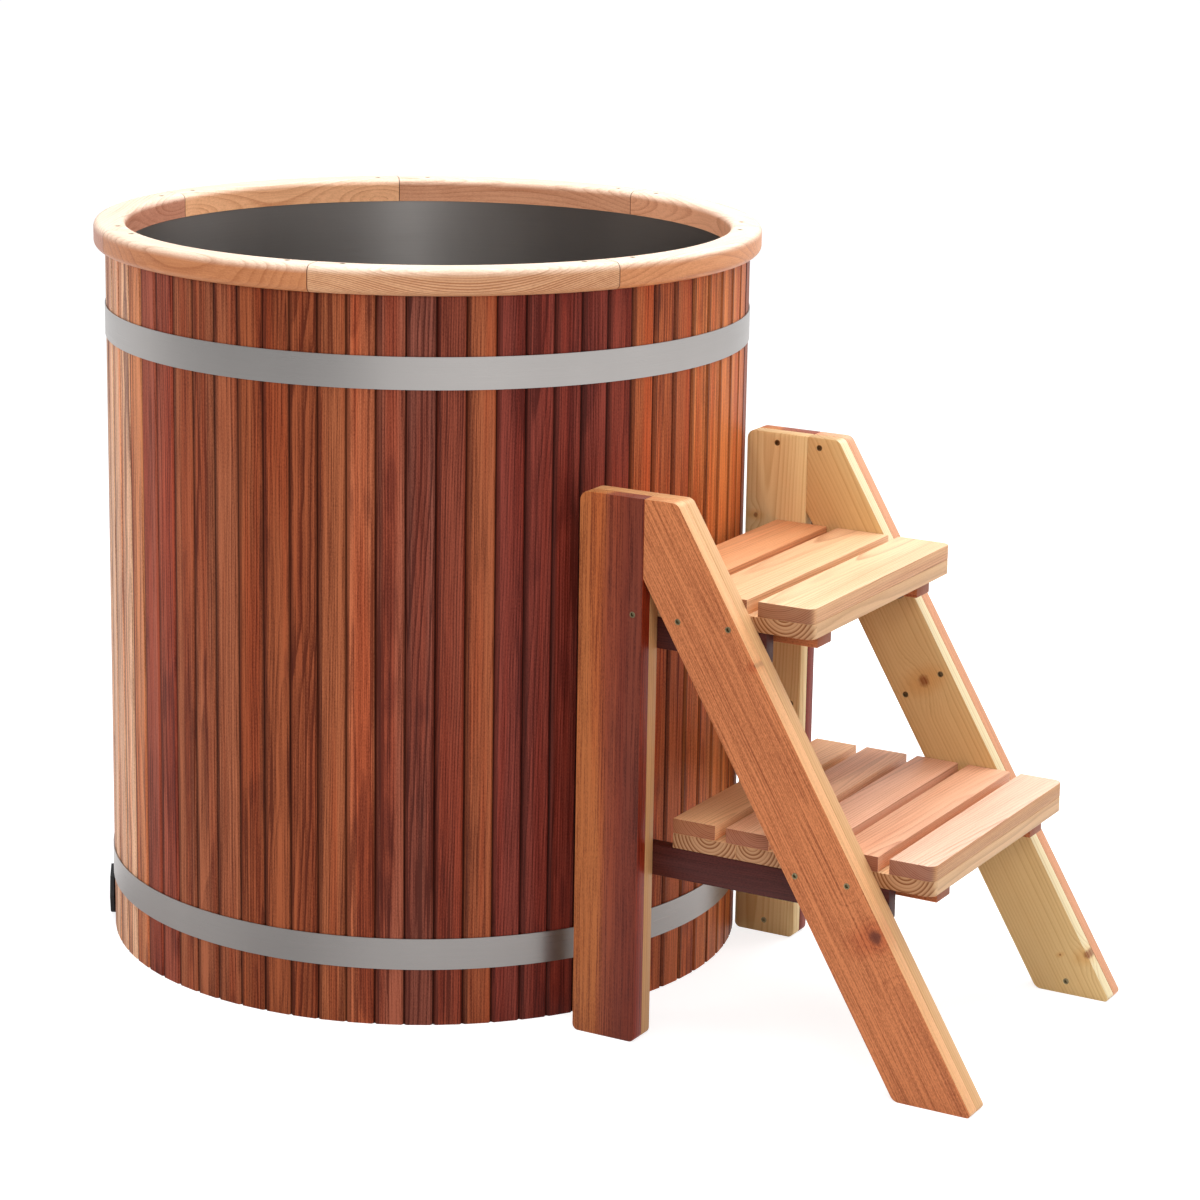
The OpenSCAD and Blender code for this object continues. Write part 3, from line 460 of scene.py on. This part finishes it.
PINE = dict(ring=0.0043, contrast=0.5, light=1.10, dark=(0.74, 0.54, 0.34, 1.0), level=0.06, streak=0.3,
            bands=0.15, fine=0.3, fibre=0.3, cloud=0.35, saw=0.2, pith=0.05, depth=(0.03, 0.08), tilt=0.05,
            wave=0.005, knot_tone="8a4c26", knot_glow=(0.90, 0.68, 0.45, 1.0))
CEDAR = dict(ring=0.0022, contrast=0.4, light=1.2, dark=(0.50, 0.35, 0.28, 1.0), level=0.25, streak=0.9, bands=0.5,
             fine=1.5, fibre=1.3, saw=1.9, wave=0.004)
STRINGER_CEDAR = {**CEDAR, "contrast": 0.35, "streak": 0.7, "bands": 0.3, "fine": 2.1, "fibre": 1.4, "saw": 1.2,
                  "cloud": 0.35}
POST_CEDAR = {**CEDAR, "contrast": 0.35, "streak": 1.6, "bands": 1.1, "fine": 3.2, "fibre": 2.2, "saw": 1.2,
              "cloud": 1.2, "tint": 0.6, "stain": 0.3}
SLAT = dict(ring=0.0026, contrast=0.65, light=1.08, dark=(0.62, 0.44, 0.36, 1.0), level=0.10, streak=0.45,
            bands=0.4, fine=0.7, fibre=0.7, cloud=0.5, saw=0.6, tint=0.2, pith=0.05, depth=(0.02, 0.07),
            tilt=0.03, wave=0.004, end_grain=(0.42, 0.28, 0.24, 1.0))
UNDERLAY = {**PINE, "ring": 0.0050, "pith": 0.03, "depth": (-0.026, -0.013), "tilt": 0.01,
            "dark": (0.50, 0.32, 0.20, 1.0), "arcs": 1.4, "end_grain": (0.66, 0.56, 0.52, 1.0)}


def board_material(node, code, seed, origin, across, through, along, edge=None, calm=0.0, **changes):
    """Board of one tone, with another on its front edge if edge gives one. calm takes marks off that edge."""
    net = Net(node + "_wood")
    places = net.axes(origin, across, through, along)
    base = tone(code)
    if edge:
        front = net.facing(across)
        base = net.mix(front, base, tone(edge))
    colour = wood(net, *places, seed, base, end=net.cut(along), **changes)
    if edge and calm:
        colour = net.mix(net.math("MULTIPLY", front, calm), colour, base)
    return paint(net, colour)


def post_outer_material(node, y, end_grain):
    """Two-tone post: light sapwood at the rear, dark heartwood at the front."""
    net = Net(node + "_wood")
    a, b, c = net.axes((STEPS_REAR_X, y, POST_MID_Z), ALONG_X, ALONG_Y, UP)
    waves = net.math("SUBTRACT", net.noise((a, b, c), (40.0, 40.0, 3.0), detail=3.0), 0.5)
    edge = net.math("MULTIPLY_ADD", waves, 0.022, a)
    heart_and_flank_shade = net.mix(net.remap(edge, 0.052, 0.070), tone("86422a"), tone("723221"))
    base = net.mix(net.remap(edge, 0.030, 0.048), tone("ab6233"), heart_and_flank_shade)
    base = net.mix(net.facing(ALONG_X), base, tone("8b3015"))
    return paint(net, wood(net, a, b, c, 21, base, end=net.cut(UP), end_grain=end_grain, **POST_CEDAR))


def underlay_material(node, count, seed):
    """The boards under a tread, side by side along X in one node."""
    net = Net(node + "_wood")
    low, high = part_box(node)
    pitch = (high[0] - low[0]) / count
    number = net.math("FLOOR", net.math("DIVIDE", net.math("SUBTRACT", net.split(net.place)[0], low[0]), pitch))
    a, b, c = net.axes((low[0], STEPS_Y, (low[2] + high[2]) / 2), ALONG_X, UP, ALONG_Y)
    a = net.math("SUBTRACT", a, net.math("MULTIPLY_ADD", number, pitch, pitch / 2))
    return paint(net, wood(net, a, b, c, net.math("ADD", number, float(seed)), tone("dcb286"),
                           end=net.cut(ALONG_Y), **UNDERLAY))


# ---------------------------------------------------------------- metal, plastic and rubber

def brushed_material(name, code, rough, scale, anisotropic=0.6, turned=0.0, steps_shade=None):
    """Sheet steel brushed round the barrel's axis, or, turned by 0.25, one that spreads light up and down.

    The colour for the side of the steps multiplies the steel's there, as painted shade and dark reflection of the
    steps.
    """
    net = Net(name)
    fine = net.speckle(5.0, scale, roughness=0.65)
    broad = net.speckle(9.0, 3.0)
    light = tone(code)
    colour = net.mix(net.math("MULTIPLY_ADD", broad, 0.5, net.math("MULTIPLY", fine, 0.5)), light,
                     times(light, 0.72))
    # Painted shade and dark reflection of the steps, on the side that faces them
    if steps_shade:
        colour = net.dye(net.facing(STEPS_SIDE), colour, steps_shade)
    net.set(Roughness=net.math("MULTIPLY_ADD", fine, 0.16, rough - 0.08), Metallic=1.0, Anisotropic=anisotropic,
            Anisotropic_Rotation=turned, Tangent=net.flow("ShaderNodeTangent", direction_type="RADIAL", axis="Z"))
    net.bump(net.math("MULTIPLY_ADD", broad, 14.0, fine), 0.08, 0.0002)
    return paint(net, colour)


def moulded_material(name, code, rough, grain):
    """Plastic or rubber with a fine moulded grain, worn a little lighter in places."""
    net = Net(name)
    speck = net.speckle(grain, grain)
    wear = net.speckle(60.0, 60.0)
    light = tone(code)
    net.set(Roughness=net.math("MULTIPLY_ADD", wear, 0.2, rough - 0.1))
    net.bump(speck, 0.25, 0.0003)
    return paint(net, net.mix(wear, light, times(light, 1.8)))


def fastener_material(name, light, dark):
    net = Net(name)
    spots = net.speckle(700.0, 700.0)
    net.set(Roughness=net.math("MULTIPLY_ADD", spots, 0.25, 0.25), Metallic=1.0)
    net.bump(spots, 0.1, 0.0001)
    return paint(net, net.mix(spots, tone(light), tone(dark)))


# ---------------------------------------------------------------- pieces

# Vertices of a CAD mesh this near each other are one
WELD = 0.00001
# Width and steps of the easing on boards, the angle from which an edge has it, and the least size of an outline
# that has it, so that the edges of holes don't
EASE_W, EASE_STEPS = 0.0012, 2
EASE_ANGLE = math.radians(40)
EASE_SPAN = 0.018
FLAT_ANGLE = math.radians(0.5)
SMOOTH_ANGLE = math.radians(35)

# Screws: sides, six-lobed recess, head, neck, shank and tip
SCREW_SIDES = 24
RECESS = ((0.0018, -0.0026), (0.0023, -0.0003), (0.0025, 0.0))
LOBES, LOBE_DEPTH = 6, 0.16
HEAD_EDGE, HEAD_DEPTH = 0.0003, 0.0030
NECK_R, SHANK_R = 0.0021, 0.0020
TIP_R, TIP_LENGTH = 0.0004, 0.004


def dress(obj, material):
    obj.data.materials.clear()
    obj.data.materials.append(material)


def body_of(node):
    return nodes[node].parent.name.split(":")[-1]


def welded(node):
    """The mesh of a CAD node, with its split vertices joined."""
    bm = bmesh.new()
    bm.from_mesh(nodes[node].data)
    bmesh.ops.remove_doubles(bm, verts=bm.verts, dist=WELD)
    return bm


def install(bm, name, node, material):
    """Puts a mesh in the place of a CAD node, on its body, and hides the node."""
    mesh = bpy.data.meshes.new(name)
    bm.to_mesh(mesh)
    bm.free()
    if "custom_normal" in mesh.attributes:
        mesh.attributes.remove(mesh.attributes["custom_normal"])
    for polygon in mesh.polygons:
        polygon.use_smooth = True
    mesh.set_sharp_from_angle(angle=SMOOTH_ANGLE)
    obj = bpy.data.objects.new(name, mesh)
    scene.collection.objects.link(obj)
    dress(obj, material)
    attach(obj, body_of(node))
    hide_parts(node)


def islands(edges):
    """Groups of edges that share vertices, in the order of their first edges."""
    left, groups = set(edges), []
    for first in edges:
        if first not in left:
            continue
        left.discard(first)
        stack, group = [first], []
        while stack:
            edge = stack.pop()
            group.append(edge)
            for vertex in edge.verts:
                for other in vertex.link_edges:
                    if other in left:
                        left.discard(other)
                        stack.append(other)
        groups.append(group)
    return groups


def extent(places):
    """The lowest and the highest corner of some places."""
    return tuple(Vector([pick(p[i] for p in places) for i in range(3)]) for pick in (min, max))


def eased(node, material):
    """A copy of a CAD board whose long edges are eased, as a plane or sandpaper leaves them."""
    bm = welded(node)
    bmesh.ops.dissolve_limit(bm, angle_limit=FLAT_ANGLE, verts=bm.verts, edges=bm.edges)
    sharp = [e for e in bm.edges if len(e.link_faces) == 2 and e.calc_face_angle() > EASE_ANGLE]
    chosen = []
    for group in islands(sharp):
        low, high = extent([v.co for e in group for v in e.verts])
        if max(high - low) > EASE_SPAN:
            chosen += group
    bmesh.ops.bevel(bm, geom=chosen, offset=EASE_W, segments=EASE_STEPS, profile=0.5, affect="EDGES",
                    clamp_overlap=True)
    install(bm, node + "_eased", node, material)


def screws(node, material):
    """Countersunk screws with a six-lobed recess, in the places of the CAD node's plain ones."""
    source = welded(node)
    made = bmesh.new()
    for group in islands(source.edges):
        places = [v.co.copy() for v in {v for e in group for v in e.verts}]
        low, high = extent(places)
        size = high - low
        axis = max(range(3), key=lambda i: size[i])
        middle = (low + high) / 2

        def width_at(value):
            return max((p - middle).length for p in places if abs(p[axis] - value) < 0.0001)

        sign = 1.0 if width_at(high[axis]) > width_at(low[axis]) else -1.0
        out = Vector([sign if i == axis else 0.0 for i in range(3)])
        head = middle + out * size[axis] / 2
        turn = out.to_track_quat("Z", "Y").to_matrix()
        length = size[axis]
        radius = min(size[i] for i in range(3) if i != axis) / 2
        outline = [(r, z, LOBE_DEPTH) for r, z in RECESS] + [(r, z, 0.0) for r, z in (
            (radius - HEAD_EDGE, 0.0), (radius, -HEAD_EDGE), (NECK_R, -HEAD_DEPTH), (SHANK_R, TIP_LENGTH - length),
            (TIP_R, -length))]
        loops = []
        for r, z, lobe in outline:
            ring = []
            for i in range(SCREW_SIDES):
                angle = math.tau * i / SCREW_SIDES
                reach = r * (1.0 + lobe * math.cos(LOBES * angle))
                ring.append(made.verts.new(head + turn @ Vector(
                    (reach * math.cos(angle), reach * math.sin(angle), z))))
            loops.append(ring)
        for upper, lower in zip(loops[:-1], loops[1:]):
            for i in range(SCREW_SIDES):
                j = (i + 1) % SCREW_SIDES
                made.faces.new((upper[i], lower[i], lower[j], upper[j]))
        made.faces.new(loops[0])
        made.faces.new(loops[-1][::-1])
    source.free()
    bmesh.ops.recalc_face_normals(made, faces=made.faces)
    install(made, node + "_detailed", node, material)


for index in range(len(STAVE_SETS)):
    dress(nodes["stave_set_%d" % (index + 1)], stave_material(index))
for index in range(RIM_COUNT):
    dress(nodes["rim_segment_%d" % (index + 1)], rim_material(index))

dress(nodes["upper_band"], brushed_material("upper_band_steel", "b9b4b1", 0.30, 2600.0))
# The lower band is darkened on the side of the steps: painted shade and dark reflection of the steps
dress(nodes["lower_band"], brushed_material("lower_band_steel", "b9b4b1", 0.30, 2600.0, steps_shade=(0.62, 0.62, 0.62, 1.0)))
dress(nodes["liner"], brushed_material("liner_steel_brushed", "b3afac", 0.335, 1400.0, 0.45, 0.25))
dress(nodes["drain_strainer"], brushed_material("strainer_steel_brushed", "b5b2ae", 0.3, 2000.0))
for material, names in (
        (moulded_material("black_plastic_moulded", "16171a", 0.5, 900.0),
         ("strainer_locknut", "drain_pipe", "drain_outlet", "outlet_locknut", "drain_plug")),
        (moulded_material("black_rubber_moulded", "101010", 0.8, 500.0), ("outlet_ring", "plug_seal")),
        (fastener_material("fastener_steel_worn", "a9a296", "77706a"), ("band_bolts", "band_nuts"))):
    for name in names:
        dress(nodes[name], material)
screw_steel = fastener_material("screw_steel_yellowed", "a39674", "5e523c")
for name in ("rim_screws", "frame_screws", "short_screws", "tread_screws"):
    screws(name, screw_steel)

# Tone of each board of the side frames, and of its front edge where that has another
FRAME_TONES = {
    "left_post_inner": ("cc9d6c", None), "left_stringer_inner": ("dbae7e", None),
    "left_stringer_outer": ("c4784a", "ecb37f"),
    "right_post_inner": ("ecd099", None), "right_stringer_inner": ("dcbb83", "e6d6ae"),
    "right_stringer_outer": ("c47a58", "dda07a"),
}
# The outer layers have paler cut ends, and the far frame's are paler than the near one's as a painted highlight from
# the light at the back right
OUTER_END_TONES_AND_HIGHLIGHT = {"left": (1.1, 1.5, 1.8, 1.0), "right": (1.7, 2.4, 2.8, 1.0)}
KNOTS = {
    "left_stringer_outer": ((-0.012, -0.214, 0.010), (0.002, 0.150, 0.0035)),
    "right_stringer_inner": ((-0.042, 0.030, 0.0085), (0.001, -0.395, 0.0055), (-0.036, -0.381, 0.0016)),
    "right_post_inner": ((-0.030, 0.242, 0.0035),),
}


def frame_board(node, seed, origin, across, inward, along, **changes):
    code, edge = FRAME_TONES[node]
    eased(node, board_material(node, code, seed, origin, across, inward, along, edge=edge,
                               knots=KNOTS.get(node, ()), **changes))


for side, (sign, inner_y) in SIDES.items():
    inward = (0.0, -sign, 0.0)
    outer_y = inner_y + sign * FRAME_LAYER_T
    seed = 70 if side == "right" else 60
    frame_board(side + "_post_inner", seed + 1, (STEPS_REAR_X + POST_W / 2, inner_y, POST_MID_Z), ALONG_X, inward,
                UP, **PINE)
    frame_board(side + "_stringer_inner", seed, (STRINGER_MID_X, inner_y, STRINGER_MID_Z), STRINGER_ACROSS, inward,
                STRINGER_UP, **PINE)
    eased(side + "_post_outer", post_outer_material(side + "_post_outer", outer_y, OUTER_END_TONES_AND_HIGHLIGHT[side]))
    frame_board(side + "_stringer_outer", seed + 5, (STRINGER_MID_X, outer_y, STRINGER_MID_Z), STRINGER_ACROSS,
                inward, STRINGER_UP, calm=0.6, end_grain=OUTER_END_TONES_AND_HIGHLIGHT[side], **STRINGER_CEDAR)

# Of each tread: its first seed, and the tones of its slats and of their front edges
TREADS = (
    ("upper", 100, (("e4a473", None), ("e9bc90", None), ("ecc9a0", "e3b386"))),
    ("lower", 150, (("efba8a", None), ("efbb95", None), ("e8b393", None), ("e2ab88", None), ("ebc4aa", "cd9a6c"))),
)
for level, seed, tones in TREADS:
    for i, (code, edge) in enumerate(tones):
        name = "%s_slat_%d" % (level, i + 1)
        low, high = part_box(name)
        eased(name, board_material(name, code, seed + 7 * i, ((low[0] + high[0]) / 2, STEPS_Y, high[2]), ALONG_X,
                                   BELOW, ALONG_Y, edge=edge, **SLAT))
for name, count, seed in (("upper_underlay", 3, 200), ("lower_underlay", 4, 220)):
    eased(name, underlay_material(name, count, seed))
for side, (sign, inner_y) in SIDES.items():
    for level, z in (("upper", 0.54), ("lower", 0.24)):
        name = "%s_%s_rail" % (side, level)
        eased(name, board_material(name, "4a1d18", 240 + len(name), (RAIL_MID_X, inner_y, z), UP, (0.0, -sign, 0.0),
                                   ALONG_X, **CEDAR))
for level, z in (("upper", 0.55), ("lower", 0.248)):
    name = level + "_cleats"
    eased(name, board_material(name, "b0683e", 260 + len(level), (RAIL_MID_X, STEPS_Y, z), ALONG_Y, UP, ALONG_X,
                               **CEDAR))
for name, along, across in (("floor_boards", ALONG_X, ALONG_Y), ("floor_joists", ALONG_Y, ALONG_X)):
    dress(nodes[name], board_material(name, "c89a63", 280 + len(name), (0.0, 0.0, BARREL_FLOOR_Z), across, UP,
                                      along, **PINE))

# ---------------------------------------------------------------- floor, light and camera

# The studio is white all round but for a grey side, which only the metal shows
GREY_SIDE = level_direction(-118.0)
GREY_START, GREY_FULL = 0.55, 0.95
GREY_LEVEL = 0.28
FLOOR_REACH = 60.0
FLOOR_LIT = (0.80, 0.80, 0.80, 1.0)
FLOOR_SEEN = (0.50, 0.50, 0.50, 1.0)
FLOOR_GLOW = 0.80
WHITE = (1.0, 1.0, 1.0, 1.0)
SKY_LIT = (0.97, 0.98, 1.0, 1.0)
SKY_LEVEL = 0.44
SKY_SEEN = (0.80, 0.80, 0.80, 1.0)


def studio_light(graph, direction, level):
    """A white level, but grey for a glossy ray toward the grey side; and 1 for a camera or glossy ray."""
    flat = graph.flow("ShaderNodeVectorMath", direction, (1.0, 1.0, 0.0), operation="MULTIPLY")
    unit = graph.flow("ShaderNodeVectorMath", flat, operation="NORMALIZE")
    rays = graph.add("ShaderNodeLightPath").outputs
    grey = graph.math("MULTIPLY", graph.remap(graph.dot(unit, GREY_SIDE), GREY_START, GREY_FULL),
                      rays["Is Glossy Ray"])
    return (graph.math("MULTIPLY_ADD", grey, level * (GREY_LEVEL - 1.0), level),
            graph.math("MAXIMUM", rays["Is Camera Ray"], rays["Is Glossy Ray"]))


floor_mesh = bpy.data.meshes.new("floor")
floor_mesh.from_pydata([(x * FLOOR_REACH, y * FLOOR_REACH, 0.0) for x, y in ((-1, -1), (1, -1), (1, 1), (-1, 1))],
                       [], [(0, 1, 2, 3)])
floor = bpy.data.objects.new("floor", floor_mesh)
scene.collection.objects.link(floor)
paper = Net("floor_paper")
paper.tree.nodes.remove(paper.shader)
glow_level, seen = studio_light(paper, paper.place, FLOOR_GLOW)
glowing = paper.flow("ShaderNodeAddShader", paper.flow("ShaderNodeBsdfDiffuse", FLOOR_SEEN),
                     paper.flow("ShaderNodeEmission", WHITE, glow_level))
paper.put(paper.flow("ShaderNodeMixShader", seen, paper.flow("ShaderNodeBsdfDiffuse", FLOOR_LIT), glowing),
          paper.surface)
dress(floor, paper.material)

world = bpy.data.worlds.new("studio")
scene.world = world
world.use_nodes = True
sky = Graph(world.node_tree)
sky_level, seen = studio_light(sky, sky.add("ShaderNodeTexCoord").outputs["Generated"], 1.0)
soft = sky.flow("ShaderNodeBackground", SKY_LIT, SKY_LEVEL)
bright = sky.flow("ShaderNodeBackground", SKY_SEEN, sky_level)
sky.put(sky.flow("ShaderNodeMixShader", seen, soft, bright), sky.add("ShaderNodeOutputWorld").inputs[0])


def lamp(name, place, target, size, watts):
    """Square softbox that points at a target."""
    data = bpy.data.lights.new(name, "AREA")
    data.shape = "SQUARE"
    data.size = size
    data.energy = watts
    obj = bpy.data.objects.new(name, data)
    scene.collection.objects.link(obj)
    obj.location = place
    obj.rotation_euler = (Vector(target) - Vector(place)).to_track_quat("-Z", "Y").to_euler()
    return obj


lamp("overhead", (0.3, 0.1, 3.7), (0.2, 0.0, 0.5), 3.0, 109.0)
lamp("back_right", (1.3, 2.5, 2.6), (0.4, 0.0, 0.4), 2.2, 60.0)
# Nothing bright stands at the front left in what the photographed steel mirrors
lamp("front_left", (-3.0, -3.4, 2.4), (0.0, 0.0, 0.5), 2.0, 52.0).visible_glossy = False
lamp("front_right", (2.85, -3.28, 2.5), (0.1, 0.0, 0.6), 1.5, 38.0)

# Camera fitted to the photograph's frame, whose optical centre lies above its middle
CAMERA_PLACE = (2.46914, -3.90636, 1.65415)
CAMERA_RIGHT = Vector((0.86997108, 0.49283690, 0.01618974))
CAMERA_DOWN = Vector((0.12271023, -0.18457890, -0.97512708))
CAMERA_AHEAD = Vector((-0.47759032, 0.85031901, -0.22105443))
FRAME_PIXELS, CENTRE_RAISED = 1200, 100
camera_data = bpy.data.cameras.new("camera")
camera_data.lens = 101.874
camera_data.sensor_width = 36.0
camera_data.shift_y = -CENTRE_RAISED / FRAME_PIXELS
camera = bpy.data.objects.new("camera", camera_data)
scene.collection.objects.link(camera)
turn = Matrix((CAMERA_RIGHT, -CAMERA_DOWN, -CAMERA_AHEAD)).transposed()
camera.matrix_world = Matrix.Translation(CAMERA_PLACE) @ turn.to_4x4()
scene.camera = camera

scene.view_settings.view_transform = "Standard"
